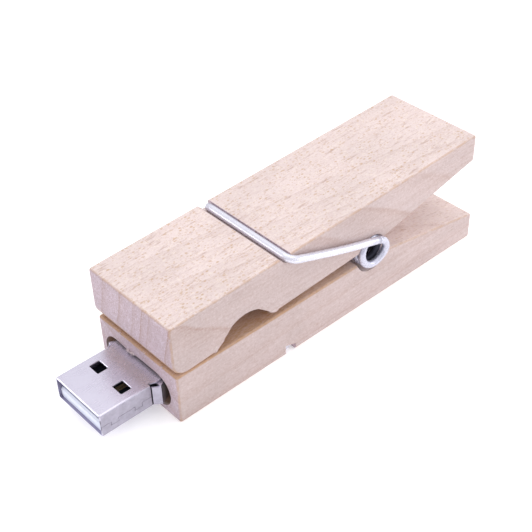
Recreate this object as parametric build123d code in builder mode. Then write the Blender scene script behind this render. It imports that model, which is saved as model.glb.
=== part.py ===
"""Memory stick in a wooden spring clothes peg.

The lower leg of the peg is hollowed from its front end and holds the circuit board, with the
metal plug standing out of it. The upper leg rocks on a wire spring and is shut by it.

Millimetres. +X is the side with the spring's upper arm, -Y the way the plug points, +Z up.
The origin is at the middle of the closed object's footprint, on the face it lies on.
Every (y, z) or (x, y) pair below counts Y from the front end of the wooden legs.
"""
from build123d import *
from math import acos, atan2, cos, degrees, hypot, pi, sin
import os

os.makedirs("parts", exist_ok=True)

# ---- Driving dimensions -------------------------------------------------------------------
plug_width = 12.0
plug_height = 4.5
plug_reach = 11.7           # metal plug beyond the wood
plug_floor = 2.24           # underside of the plug above the resting face
shell_wall = 0.3
shell_corner = 0.4

leg_width = 20.6
leg_length = 71.0
leg_thickness = 9.85
tail_thickness = 5.3
lower_softness = 0.45       # sanded edges of the lower leg
upper_softness = 0.45       # sanded edges of the upper leg

wire_diameter = 1.38
coil_radius = 2.42          # to the middle of the wire
coil_y = 43.15
coil_z = 11.3
coil_turns_between = 15     # whole turns, besides the part turn between the two arms
seat_clearance = 0.19       # round the coil in the upper leg

board_width = 14.4
board_thickness = 0.8
board_front = 1.3
board_length = 34.7

# ---- Values that follow from them ---------------------------------------------------------
wood_front = (plug_reach - leg_length) / 2
half_leg = leg_width / 2
wire_radius = wire_diameter / 2
arm_x = half_leg + wire_radius + 0.1    # an arm runs this far out, just clear of the wood
seat_radius = coil_radius + wire_radius + seat_clearance
plug_top = plug_floor + plug_height
plug_middle = plug_floor + plug_height / 2
inner_floor = plug_floor + shell_wall
inner_top = plug_top - shell_wall


def side_plane(x):
    """Plane across the object's width at x: local axes are Y from the wood's front, and Z."""
    return Plane(origin=(x, wood_front, 0), x_dir=(0, 1, 0), z_dir=(1, 0, 0))


def level_plane(z):
    """Level plane at height z: local axes are X, and Y from the wood's front."""
    return Plane(origin=(0, wood_front, z))


def cross_plane(y):
    """Upright plane that faces the plug's way: local axes are X and Z."""
    return Plane(origin=(0, wood_front + y, 0), x_dir=(1, 0, 0), z_dir=(0, -1, 0))


def finish(piece, name):
    """Label one finished piece and write it."""
    piece.part.label = name
    export_step(piece.part, f"parts/{name}.step")


# ---- Layout of the spring, one wire with a bar in a groove of each leg --------------------
upper_bar_y = 23.42
upper_bar_z = 20.5
lower_bar_y = 23.75
lower_bar_z = 0.78
bar_end = 9.5               # the free end of a bar stops short of the far side
bend_radius = 1.7
joint_gap = 0.12            # between a straight arm and the coil's own solid
bedding = 0.05              # the wire's room where it beds into the wood


def leaving_angle(bar_y, bar_z, side):
    """Angle about the coil, from +Y towards +Z, at which the arm to a bar leaves the coil."""
    towards_bar = atan2(bar_z - coil_z, bar_y - coil_y)
    reach = hypot(bar_y - coil_y, bar_z - coil_z)
    return towards_bar - side * acos(coil_radius / reach)


def arm_corners(bar_y, bar_z, side):
    """Free end, outer corner and coil end of one arm, in the object's frame."""
    angle = leaving_angle(bar_y, bar_z, side)
    touch_y = coil_y + coil_radius * cos(angle)
    touch_z = coil_z + coil_radius * sin(angle)
    run = hypot(touch_y - bar_y, touch_z - bar_z)
    back_y = (bar_y - touch_y) * joint_gap / run
    back_z = (bar_z - touch_z) * joint_gap / run
    return [(-side * bar_end, wood_front + bar_y, bar_z),
            (side * arm_x, wood_front + bar_y, bar_z),
            (side * arm_x, wood_front + touch_y + back_y, touch_z + back_z)]


upper_corners = arm_corners(upper_bar_y, upper_bar_z, 1)
lower_corners = arm_corners(lower_bar_y, lower_bar_z, -1)

# ---- Lower leg: a plain tapered blank with a pocket, a wire groove and a coil seat ---------
taper_start = 44.9
groove_front = 22.7
groove_back = 25.0
groove_front_depth = 2.1    # the groove is cut aslant, deeper at its front wall
groove_back_depth = 1.3
lower_seat_radius = 3.9     # the coil's seat in this leg is cut wide and a little low
lower_seat_y = 43.45
lower_seat_z = 11.05

# The pocket is two overlapping cutter passes whose round tops leave a low ragged ridge.
pocket_shift = -0.4         # the pocket sits a little off centre
pocket_bottom = 1.05
pocket_top = 7.45
pocket_half = 8.6
pocket_step = 20.5          # behind this the floor is higher, clear of the wire groove
pocket_end = 38.0
pocket_back_floor = 2.8
pocket_back_round = 1.2     # its corners stay clear of the board's edges
pocket_middle = (pocket_bottom + pocket_top) / 2
pocket_round = (pocket_top - pocket_bottom) / 2
ridge_x = -1.6
ridge_z = 6.98

with BuildPart() as lower_leg:
    with BuildSketch(side_plane(-half_leg)):
        with BuildLine():
            Polyline((0, 0), (leg_length, 0), (leg_length, tail_thickness),
                     (taper_start, leg_thickness), (0, leg_thickness), close=True)
        make_face()
    extrude(amount=leg_width)
    kink = lower_leg.edges().filter_by(Axis.X).filter_by_position(
        Axis.Y, wood_front + taper_start - 1, wood_front + taper_start + 1)
    fillet(lower_leg.edges() - kink, radius=lower_softness)

    # Groove across the underside for the spring's lower bar
    with BuildSketch(side_plane(-half_leg)):
        with BuildLine():
            Polyline((groove_front, -1), (groove_back, -1), (groove_back, groove_back_depth),
                     (groove_front, groove_front_depth), close=True)
        make_face()
    extrude(amount=leg_width, mode=Mode.SUBTRACT)

    # Half-round seat that the coil lies in
    with BuildSketch(side_plane(-half_leg)):
        with Locations((lower_seat_y, lower_seat_z)):
            Circle(lower_seat_radius)
    extrude(amount=leg_width, mode=Mode.SUBTRACT)

    # The wire beds into the corner where it turns up the side
    with BuildLine() as bed:
        FilletPolyline(*lower_corners, radius=bend_radius)
    with BuildSketch(Plane(origin=bed.line @ 0, z_dir=bed.line % 0)):
        Circle(wire_radius + bedding)
    sweep(path=bed.line, mode=Mode.SUBTRACT)

    # Mouth of the pocket, from the front end
    left_centre = pocket_shift - pocket_half + pocket_round
    right_centre = pocket_shift + pocket_half - pocket_round
    with BuildSketch(cross_plane(-1)):
        with BuildLine():
            Line((left_centre, pocket_bottom), (right_centre, pocket_bottom))
            ThreePointArc((right_centre, pocket_bottom),
                          (right_centre + pocket_round, pocket_middle),
                          (right_centre, pocket_top))
            ThreePointArc((right_centre, pocket_top), (1.6, pocket_top + 0.05),
                          (ridge_x + 0.35, pocket_top - 0.12))
            Line((ridge_x + 0.35, pocket_top - 0.12), (ridge_x, ridge_z))
            ThreePointArc((ridge_x, ridge_z), (-3.3, pocket_top - 0.15),
                          (left_centre, pocket_top))
            ThreePointArc((left_centre, pocket_top),
                          (left_centre - pocket_round, pocket_middle),
                          (left_centre, pocket_bottom))
        make_face()
    extrude(amount=-(pocket_step + 1), mode=Mode.SUBTRACT)

    # Shallower back of the pocket, over the wire groove
    with BuildSketch(cross_plane(pocket_step - 0.1)):
        with Locations((pocket_shift, (pocket_back_floor + pocket_top) / 2)):
            RectangleRounded(2 * pocket_half - 1.2, pocket_top - pocket_back_floor,
                             pocket_back_round)
    extrude(amount=-(pocket_end - pocket_step + 0.1), mode=Mode.SUBTRACT)
finish(lower_leg, "lower_leg")

# ---- Upper leg: the same kind of blank upside down, with a line hole behind the jaw --------
upper_front = -0.45
upper_tail = 69.9
upper_top_front = 20.03     # height of the top face at its front edge
upper_top_slope = 0.0455    # the top face climbs towards the tail
jaw_corner = 9.7            # where the underside would meet the front, were it not rounded
underside_slope = 0.0594
upper_kink = 44.5
tail_underside = 17.87
jaw_round = 2.8
arch_front = 8.0
arch_back = 20.9

wire_groove_front = 21.7
wire_groove_knee = 22.9
wire_groove_back = 24.16

def upper_top(y):
    """Height of the upper leg's top face."""
    return upper_top_front + upper_top_slope * (y - upper_front)


def upper_underside(y):
    """Height of the upper leg's underside in front of the coil."""
    return jaw_corner + underside_slope * (y - upper_front)


wire_groove_floor = upper_bar_z - wire_radius

with BuildPart() as upper_leg:
    with BuildSketch(side_plane(-half_leg)):
        with BuildLine():
            Polyline((upper_front, jaw_corner), (upper_kink, upper_underside(upper_kink)),
                     (upper_tail, tail_underside), (upper_tail, upper_top(upper_tail)),
                     (upper_front, upper_top_front), close=True)
        make_face()
    extrude(amount=leg_width)
    jaw_edge = upper_leg.edges().filter_by(Axis.X).group_by(Axis.Y)[0].sort_by(Axis.Z)[0]
    fillet(jaw_edge, radius=jaw_round)
    kink = upper_leg.edges().filter_by(Axis.X).filter_by_position(
        Axis.Y, wood_front + upper_kink - 1, wood_front + upper_kink + 1)
    jaw_seams = upper_leg.edges().filter_by(Axis.X).filter_by_position(
        Axis.Z, 0, jaw_corner + jaw_round + 0.5)
    fillet(upper_leg.edges() - kink - jaw_seams, radius=upper_softness)

    # Line hole: an arch with a steep front flank and a short run-out behind
    with BuildSketch(side_plane(-half_leg)):
        with BuildLine():
            Line((arch_front, upper_underside(arch_front) - 1),
                 (arch_front, upper_underside(arch_front)))
            Line((arch_front, upper_underside(arch_front)), (11.4, 13.62))
            ThreePointArc((11.4, 13.62), (13.9, 14.45), (17.1, 13.8))
            Line((17.1, 13.8), (19.3, 11.95))
            ThreePointArc((19.3, 11.95), (19.9, 11.35), (arch_back, upper_underside(arch_back)))
            Line((arch_back, upper_underside(arch_back)),
                 (arch_back, upper_underside(arch_back) - 1))
            Line((arch_back, upper_underside(arch_back) - 1),
                 (arch_front, upper_underside(arch_front) - 1))
        make_face()
    extrude(amount=leg_width, mode=Mode.SUBTRACT)

    # Half-round seat over the coil
    with BuildSketch(side_plane(-half_leg)):
        with Locations((coil_y, coil_z)):
            Circle(seat_radius)
    extrude(amount=leg_width, mode=Mode.SUBTRACT)

    # Groove across the top for the spring's upper bar: sloped front, upright back
    with BuildSketch(side_plane(-half_leg)):
        with BuildLine():
            Polyline((wire_groove_front, upper_top(wire_groove_front)),
                     (wire_groove_knee, wire_groove_floor),
                     (wire_groove_back, wire_groove_floor),
                     (wire_groove_back, upper_top(wire_groove_back) + 1),
                     (wire_groove_front, upper_top(wire_groove_front) + 1), close=True)
        make_face()
    extrude(amount=leg_width, mode=Mode.SUBTRACT)

    # The wire beds into the corner where it turns down the side
    with BuildLine() as bed:
        FilletPolyline(*upper_corners, radius=bend_radius)
    with BuildSketch(Plane(origin=bed.line @ 0, z_dir=bed.line % 0)):
        Circle(wire_radius + bedding)
    sweep(path=bed.line, mode=Mode.SUBTRACT)
finish(upper_leg, "upper_leg")

# ---- Spring: its two arms and its coil, which twists between them -------------------------

for name, corners, free_end in (("spring_upper_arm", upper_corners, 0),
                                ("spring_lower_arm", lower_corners, -1)):
    with BuildPart() as arm:
        with BuildLine() as route:
            FilletPolyline(*corners, radius=bend_radius)
        with BuildSketch(Plane(origin=route.line @ 0, z_dir=route.line % 0)):
            Circle(wire_radius)
        sweep(path=route.line)
        fillet(arm.faces().sort_by(Axis.X)[free_end].edges(), radius=0.2)
    finish(arm, name)

first_angle = leaving_angle(lower_bar_y, lower_bar_z, -1)
last_angle = leaving_angle(upper_bar_y, upper_bar_z, 1)
coil_turns = coil_turns_between + (last_angle - first_angle) / (2 * pi)
coil_pitch = 2 * arm_x / coil_turns
coil_start = Plane(origin=(-arm_x, wood_front + coil_y, coil_z),
                   x_dir=(0, cos(first_angle), sin(first_angle)), z_dir=(1, 0, 0))

with BuildPart() as spring_coil:
    with BuildLine() as windings:
        add(coil_start * Helix(coil_pitch, 2 * arm_x, coil_radius, mode=Mode.PRIVATE))
    with BuildSketch(Plane(origin=windings.line @ 0, z_dir=windings.line % 0)):
        Circle(wire_radius)
    sweep(path=windings.line, is_frenet=True)
finish(spring_coil, "spring_coil")

# ---- Plug shell: a stamped tube with windows, wings and a tail that holds the board --------
tube_back = -2.1
window_length = 1.95
window_width = 2.4
window_middle_x = 3.1
window_middle_y = -5.44
slit_width = 0.2
notch_inner_x = 5.3
wing_bottom = 2.45
wing_top = 6.2
wing_bridge_top = 3.0
wing_back = -0.7
wing_flare = 0.9
side_wall_back = 1.15
notch_back = -0.85
corner_bottom = 6.2         # underside of the bent-over corners behind the notches
corner_inner_x = 5.6
rim_bevel = 0.07
top_lip_back = 2.2
top_lip_rise = 0.2
floor_back = 4.3
leg_x = 5.0
leg_front = 2.5
leg_back = 3.7
leg_top = 4.75
seam_z = 4.38
seam_width = 0.06
seam_depth = 0.1
lock_depth = 0.7
lock_half_foot = 0.65
lock_half_head = 0.75

with BuildPart() as usb_shell:
    with BuildSketch(cross_plane(tube_back)):
        with Locations((0, plug_middle)):
            RectangleRounded(plug_width, plug_height, shell_corner)
            RectangleRounded(plug_width - 2 * shell_wall, plug_height - 2 * shell_wall,
                             shell_corner - shell_wall, mode=Mode.SUBTRACT)
    extrude(amount=plug_reach + tube_back)
    mouth = usb_shell.faces().filter_by(Axis.Y).sort_by(Axis.Y)[0]
    chamfer(mouth.outer_wire().edges(), length=0.12)

    # Two windows in the top wall and two in the bottom wall
    with BuildSketch(level_plane(plug_floor - 1)):
        with Locations((-window_middle_x, window_middle_y), (window_middle_x, window_middle_y)):
            RectangleRounded(window_width, window_length, 0.15)
    extrude(amount=plug_height + 2, mode=Mode.SUBTRACT)
    for outside in (usb_shell.faces().sort_by(Axis.Z)[-1], usb_shell.faces().sort_by(Axis.Z)[0]):
        rims = [rim for wire in outside.inner_wires() for rim in wire.edges()]
        chamfer(rims, length=rim_bevel)

    # The top wall runs on into the pocket and lifts a little
    with BuildSketch(side_plane(-notch_inner_x)):
        with BuildLine():
            Polyline((tube_back, inner_top), (top_lip_back, inner_top + top_lip_rise),
                     (top_lip_back, plug_top + top_lip_rise), (tube_back, plug_top), close=True)
        make_face()
    extrude(amount=2 * notch_inner_x)

    # It widens past the two corner notches to the full width of the plug again
    with BuildPart(mode=Mode.PRIVATE) as lip_sides:
        with BuildSketch(side_plane(-plug_width / 2)):
            with BuildLine():
                Polyline((tube_back, inner_top), (top_lip_back, inner_top + top_lip_rise),
                         (top_lip_back, plug_top + top_lip_rise), (tube_back, plug_top),
                         close=True)
            make_face()
        extrude(amount=plug_width)
        for side in (-1, 1):
            with BuildSketch(level_plane(plug_floor)):
                with BuildLine():
                    Polyline((side * notch_inner_x, tube_back - 0.1),
                             (side * plug_width, tube_back - 0.1),
                             (side * plug_width, notch_back),
                             (side * plug_width / 2, notch_back),
                             (side * notch_inner_x, tube_back), close=True)
                make_face()
            extrude(amount=2 * plug_height, mode=Mode.SUBTRACT)
    add(lip_sides.part)

    # The bottom wall runs back under the board
    with BuildSketch(level_plane(plug_floor)):
        with BuildLine():
            Polyline((-notch_inner_x, tube_back), (notch_inner_x, tube_back),
                     (notch_inner_x, floor_back), (-notch_inner_x, floor_back), close=True)
        make_face()
    extrude(amount=shell_wall)

    # Two legs bent up from it pass through the board
    with BuildSketch(level_plane(plug_floor)):
        with Locations((-leg_x, (leg_front + leg_back) / 2), (leg_x, (leg_front + leg_back) / 2)):
            Rectangle(shell_wall, leg_back - leg_front)
    extrude(amount=leg_top - plug_floor)

    # Behind a slit both side walls spread out and come back in, which stops the plug in the wood
    for side in (-1, 1):
        wall_out = side * plug_width / 2
        wall_in = side * (plug_width / 2 - shell_wall)
        wing_start = tube_back + slit_width
        with BuildSketch(level_plane(wing_bottom)):
            with BuildLine():
                Polyline((wall_in, wing_start), (wall_out, wing_start),
                         (wall_out + side * wing_flare, wing_back),
                         (wall_out, side_wall_back), (wall_in, side_wall_back),
                         (wall_in + side * wing_flare, wing_back), close=True)
            make_face()
        extrude(amount=wing_top - wing_bottom)
        flare_share = (notch_back - wing_start) / (wing_back - wing_start)
        with BuildSketch(level_plane(corner_bottom)):
            with BuildLine():
                Polyline((side * corner_inner_x, notch_back),
                         (wall_out + side * wing_flare * flare_share, notch_back),
                         (wall_out + side * wing_flare, wing_back),
                         (wall_out, side_wall_back), (side * corner_inner_x, side_wall_back),
                         close=True)
            make_face()
        extrude(amount=inner_top + 0.1 - corner_bottom)
        with BuildSketch(level_plane(wing_bottom + 0.1)):
            with BuildLine():
                Polyline((wall_in, tube_back - 0.1), (wall_out, tube_back - 0.1),
                         (wall_out, wing_start + 0.05), (wall_in, wing_start + 0.05), close=True)
            make_face()
        extrude(amount=wing_bridge_top - wing_bottom - 0.1)

    # Butt seam of the folded sheet along the +X wall, locked by two dovetails
    seam_points = [(-plug_reach - 1, seam_z)]
    for lock_y in (-9.17, -4.65):
        seam_points += [(lock_y - lock_half_foot, seam_z),
                        (lock_y - lock_half_head, seam_z - lock_depth),
                        (lock_y + lock_half_head, seam_z - lock_depth),
                        (lock_y + lock_half_foot, seam_z)]
    seam_points += [(tube_back + 0.5, seam_z)]
    with BuildSketch(side_plane(plug_width / 2)):
        with BuildLine() as seam_line:
            Polyline(*seam_points)
        trace(seam_line.line, line_width=seam_width)
    extrude(amount=-seam_depth, mode=Mode.SUBTRACT)
finish(usb_shell, "usb_shell")

# ---- Insulator: the plastic tongue with the block that closes the plug's back --------------
tongue_front = -11.25
tongue_top = 4.4
tongue_width = 11.3
block_front = -2.6
block_back = 1.2
contact_top = tongue_top + 0.05
contact_thickness = 0.15
contact_width = 1.0
board_top = contact_top - contact_thickness
contact_back = board_front + 2.4
contacts = {"contact_power": (-3.5, -9.8), "contact_data_minus": (-1.0, -8.8),
            "contact_data_plus": (1.0, -8.8), "contact_ground": (3.5, -9.8)}

with BuildPart() as usb_insulator:
    with BuildSketch(level_plane(inner_floor)):
        with BuildLine():
            Polyline((-tongue_width / 2, tongue_front), (tongue_width / 2, tongue_front),
                     (tongue_width / 2, block_front), (-tongue_width / 2, block_front),
                     close=True)
        make_face()
    extrude(amount=tongue_top - inner_floor)
    nose = usb_insulator.faces().sort_by(Axis.Y)[0]
    chamfer(nose.edges().filter_by(Axis.X).sort_by(Axis.Z)[-1], length=0.3)
    chamfer(usb_insulator.edges().filter_by(Axis.Y).group_by(Axis.Z)[0], length=0.2)
    with BuildSketch(level_plane(inner_floor)):
        with BuildLine():
            Polyline((-notch_inner_x + 0.1, block_front), (notch_inner_x - 0.1, block_front),
                     (notch_inner_x - 0.1, block_back), (-notch_inner_x + 0.1, block_back),
                     close=True)
        make_face()
    extrude(amount=inner_top - inner_floor)
    with BuildSketch(level_plane(board_top)):
        for middle_x, front_y in contacts.values():
            with BuildLine():
                Polyline((middle_x - contact_width / 2, front_y),
                         (middle_x + contact_width / 2, front_y),
                         (middle_x + contact_width / 2, block_back + 1),
                         (middle_x - contact_width / 2, block_back + 1), close=True)
            make_face()
    extrude(amount=contact_thickness, mode=Mode.SUBTRACT)
finish(usb_insulator, "usb_insulator")

# ---- Four contacts: power, the two data lines and ground -----------------------------------
for name, (middle_x, front_y) in contacts.items():
    with BuildPart() as contact:
        with BuildSketch(level_plane(board_top)):
            with BuildLine():
                Polyline((middle_x - contact_width / 2, front_y),
                         (middle_x + contact_width / 2, front_y),
                         (middle_x + contact_width / 2, contact_back),
                         (middle_x - contact_width / 2, contact_back), close=True)
            make_face()
        extrude(amount=contact_thickness)
        nose = contact.edges().filter_by(Axis.X).group_by(Axis.Y)[0].sort_by(Axis.Z)[-1]
        chamfer(nose, length=0.08)
    finish(contact, name)

# ---- Circuit board --------------------------------------------------------------------------
board_back = board_front + board_length
board_floor = board_top - board_thickness

with BuildPart() as circuit_board:
    with BuildSketch(level_plane(board_floor)):
        with BuildLine():
            Polyline((-board_width / 2, board_front), (board_width / 2, board_front),
                     (board_width / 2, board_back), (-board_width / 2, board_back), close=True)
        make_face()
        chamfer(vertices(), length=0.6)
        with Locations((-leg_x, (leg_front + leg_back) / 2), (leg_x, (leg_front + leg_back) / 2)):
            SlotOverall(leg_back - leg_front + 0.7, shell_wall + 0.3, rotation=90,
                        mode=Mode.SUBTRACT)
    extrude(amount=board_thickness)
finish(circuit_board, "circuit_board")

# ---- Chips: a moulded body and its gull-wing leads each -------------------------------------
stand_off = 0.08
lead_pitch = 0.5
lead_width = 0.22
lead_thickness = 0.12


def gull_wing(reach, height):
    """Outline of one lead from the chip's side (0, 0) out to its foot, height below."""
    knee = reach * 0.35
    heel = reach * 0.6
    return [(0, 0), (knee, 0), (heel, -height + lead_thickness), (reach, -height + lead_thickness),
            (reach, -height), (heel - lead_thickness, -height),
            (knee - lead_thickness, -lead_thickness), (0, -lead_thickness)]


flash_y = 24.5
flash_half_width = 6.0
flash_half_length = 9.2
flash_thickness = 1.0
flash_lead_reach = 0.8
flash_leads_per_end = 22

with BuildPart() as flash_chip:
    with BuildSketch(level_plane(board_top + stand_off)):
        with Locations((0, flash_y)):
            Rectangle(2 * flash_half_width, 2 * flash_half_length)
    extrude(amount=flash_thickness)
    chamfer(flash_chip.faces().sort_by(Axis.Z)[-1].edges(), length=0.12)
    with BuildSketch(level_plane(board_top + stand_off + flash_thickness)):
        with Locations((-flash_half_width + 1.1, flash_y - flash_half_length + 1.1)):
            Circle(0.45)
    extrude(amount=-0.06, mode=Mode.SUBTRACT)
finish(flash_chip, "flash_chip")

flash_lead_height = stand_off + flash_thickness / 2 + lead_thickness / 2
with BuildPart() as flash_leads:
    for lead in range(flash_leads_per_end):
        lead_x = (lead - (flash_leads_per_end - 1) / 2) * lead_pitch
        for end in (-1, 1):
            shoulder = Plane(origin=(lead_x - lead_width / 2,
                                     wood_front + flash_y + end * flash_half_length,
                                     board_top + flash_lead_height),
                             x_dir=(0, end, 0), z_dir=(end, 0, 0))
            with BuildSketch(shoulder):
                with BuildLine():
                    Polyline(*gull_wing(flash_lead_reach, flash_lead_height), close=True)
                make_face()
            extrude(amount=end * lead_width)
finish(flash_leads, "flash_leads")

controller_y = 11.0
controller_half = 3.5
controller_thickness = 1.2
controller_lead_reach = 1.0
controller_leads_per_side = 12
controller_lead_height = stand_off + controller_thickness / 2 + lead_thickness / 2

with BuildPart() as controller_chip:
    with BuildSketch(level_plane(board_floor - stand_off)):
        with Locations((0, controller_y)):
            Rectangle(2 * controller_half, 2 * controller_half)
    extrude(amount=-controller_thickness)
    chamfer(controller_chip.faces().sort_by(Axis.Z)[0].edges(), length=0.12)
    with BuildSketch(level_plane(board_floor - stand_off - controller_thickness)):
        with Locations((-controller_half + 1, controller_y - controller_half + 1)):
            Circle(0.35)
    extrude(amount=0.06, mode=Mode.SUBTRACT)
finish(controller_chip, "controller_chip")

with BuildPart() as controller_leads:
    for side in range(4):
        turn = side * pi / 2
        outward = (cos(turn), sin(turn), 0)
        along = (-sin(turn), cos(turn), 0)
        for lead in range(controller_leads_per_side):
            shift = (lead - (controller_leads_per_side - 1) / 2) * lead_pitch - lead_width / 2
            shoulder = Plane(origin=(outward[0] * controller_half + along[0] * shift,
                                     wood_front + controller_y
                                     + outward[1] * controller_half + along[1] * shift,
                                     board_floor - controller_lead_height),
                             x_dir=outward, z_dir=along)
            with BuildSketch(shoulder):
                with BuildLine():
                    Polyline(*gull_wing(controller_lead_reach, controller_lead_height), close=True)
                make_face()
            extrude(amount=lead_width)
finish(controller_leads, "controller_leads")

# ---- Small parts on the board ---------------------------------------------------------------
crystal_size = (5.0, 3.2, 1.1)
crystal_place = (-3.6, 9.6)

with BuildPart() as crystal:
    with BuildSketch(level_plane(board_top)):
        with Locations(crystal_place):
            Rectangle(crystal_size[0], crystal_size[1])
    extrude(amount=0.45)
    with BuildSketch(level_plane(board_top + 0.45)):
        with Locations(crystal_place):
            RectangleRounded(crystal_size[0] - 0.5, crystal_size[1] - 0.5, 0.5)
    extrude(amount=crystal_size[2] - 0.45)
    fillet(crystal.faces().sort_by(Axis.Z)[-1].edges(), radius=0.15)
finish(crystal, "crystal")

chip_length = 1.6
chip_width = 0.8
capacitor_height = 0.8
resistor_height = 0.45
capacitor_places = [(2.0, 8.4), (2.0, 10.2), (2.0, 12.0), (-6.3, 7.0), (6.2, 5.6), (-6.2, 12.4)]
resistor_places = [(4.6, 8.4), (4.6, 10.2), (4.6, 12.0), (-3.6, 6.6), (-3.4, 12.9)]

with BuildPart() as ceramic_capacitors:
    with BuildSketch(level_plane(board_top)):
        with Locations(*capacitor_places):
            Rectangle(chip_length, chip_width)
    extrude(amount=capacitor_height)
    fillet(ceramic_capacitors.edges().filter_by(Axis.Y), radius=0.08)
finish(ceramic_capacitors, "ceramic_capacitors")

with BuildPart() as resistors:
    with BuildSketch(level_plane(board_top)):
        with Locations(*resistor_places):
            Rectangle(chip_length, chip_width)
    extrude(amount=resistor_height)
    fillet(resistors.edges().filter_by(Axis.Y), radius=0.06)
finish(resistors, "resistors")

with BuildPart() as status_led:
    with BuildSketch(level_plane(board_top)):
        with Locations((6.2, 9.0)):
            Rectangle(chip_width, chip_length)
    extrude(amount=0.3)
    with BuildSketch(level_plane(board_top + 0.3)):
        with Locations((6.2, 9.0)):
            Rectangle(chip_width - 0.1, chip_length - 0.6)
    extrude(amount=0.4)
    fillet(status_led.faces().sort_by(Axis.Z)[-1].edges(), radius=0.1)
finish(status_led, "status_led")

# ---- Solder at the contacts' tails and the shell's legs --------------------------------------
with BuildPart() as solder_joints:
    for middle_x, _ in contacts.values():
        with BuildSketch(side_plane(middle_x - contact_width / 2 - 0.1)):
            with BuildLine():
                Polyline((contact_back, board_top), (contact_back + 0.55, board_top),
                         (contact_back, board_top + 0.13), close=True)
            make_face()
        extrude(amount=contact_width + 0.2)
    for side in (-1, 1):
        face_x = side * (leg_x + shell_wall / 2)
        with BuildSketch(cross_plane(leg_front)):
            with BuildLine():
                Polyline((face_x, board_top), (face_x + side * 0.55, board_top),
                         (face_x, leg_top - 0.05), close=True)
            make_face()
        extrude(amount=-(leg_back - leg_front))
finish(solder_joints, "solder_joints")

# ---- Glue that holds the board down in the pocket ---------------------------------------------
with BuildPart() as glue_beads:
    for bead_y, bead_length, bead_floor in ((18.2, 2.6, pocket_bottom),
                                            (34.2, 2.4, pocket_back_floor)):
        with BuildSketch(level_plane(bead_floor)):
            with Locations((0, bead_y)):
                SlotOverall(9.5, bead_length)
        extrude(amount=board_floor - bead_floor)
finish(glue_beads, "glue_beads")

print(f"coil: {coil_turns:.2f} turns at {coil_pitch:.3f} pitch, "
      f"arms leave at {degrees(first_angle):.1f} and {degrees(last_angle):.1f} degrees")
print(f"hinge axis at y {wood_front + coil_y:.3f}, z {coil_z:.3f}; wood front at {wood_front:.3f}")
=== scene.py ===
"""Looks of the clothes-peg memory stick: the camera, the light, the materials and the sprung wire.

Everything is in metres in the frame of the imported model. Lengths of the object are named in
millimetres and go through MM. The floor, the lamps and the camera's clipping are given in metres.

Where a material changes over a part, a pair of lengths says where the change starts and where it
is complete, and two pairs are a band: where it rises and where it falls again.
"""
import math
import random

import bmesh
import bpy
from mathutils import Matrix, Vector, noise


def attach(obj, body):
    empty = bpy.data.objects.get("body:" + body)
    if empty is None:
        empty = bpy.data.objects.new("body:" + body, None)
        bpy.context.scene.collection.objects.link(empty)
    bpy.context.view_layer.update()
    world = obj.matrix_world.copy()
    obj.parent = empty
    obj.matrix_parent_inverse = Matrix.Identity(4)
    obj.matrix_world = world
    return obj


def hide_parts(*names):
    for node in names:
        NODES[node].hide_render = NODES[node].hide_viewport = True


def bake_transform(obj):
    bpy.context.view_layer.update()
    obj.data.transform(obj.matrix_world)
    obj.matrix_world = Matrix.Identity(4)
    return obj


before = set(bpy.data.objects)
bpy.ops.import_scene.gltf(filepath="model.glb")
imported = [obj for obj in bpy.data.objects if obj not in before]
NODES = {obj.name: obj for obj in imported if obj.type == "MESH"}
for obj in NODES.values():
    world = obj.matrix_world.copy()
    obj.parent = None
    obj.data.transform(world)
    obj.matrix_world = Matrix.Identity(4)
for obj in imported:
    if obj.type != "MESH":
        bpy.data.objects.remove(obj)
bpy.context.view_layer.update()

MM = 0.001
UPPER = "upper_half"
LOWER = "lower_half"
WOOD_FRONT = -29.65      # y of the front end of the lower leg
LEG_TOP = 9.8            # z just under the top of the lower leg


# ---------------------------------------------------------------- making things

def add_object(name, data):
    """A new object in the scene that holds the data."""
    made = bpy.data.objects.new(name, data)
    bpy.context.scene.collection.objects.link(made)
    return made


def add_mesh(name, bm):
    """A new object in the scene with the bmesh's faces. The bmesh is freed."""
    mesh = bpy.data.meshes.new(name)
    bm.to_mesh(mesh)
    bm.free()
    return add_object(name, mesh)


def srgb(r, g, b):
    """A display colour from 0 to 255 as the linear colour that shaders use."""
    def linear(c):
        c /= 255.0
        return c / 12.92 if c <= 0.04045 else ((c + 0.055) / 1.055) ** 2.4
    return (linear(r), linear(g), linear(b), 1.0)


def set_stops(node, stops):
    """Gives a colour ramp node these (position, colour) stops in place of its own."""
    elements = node.color_ramp.elements
    while len(elements) > 1:
        elements.remove(elements[0])
    for i, (at, colour) in enumerate(stops):
        stop = elements[0] if i == 0 else elements.new(at)
        stop.position = at
        stop.color = colour


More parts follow.
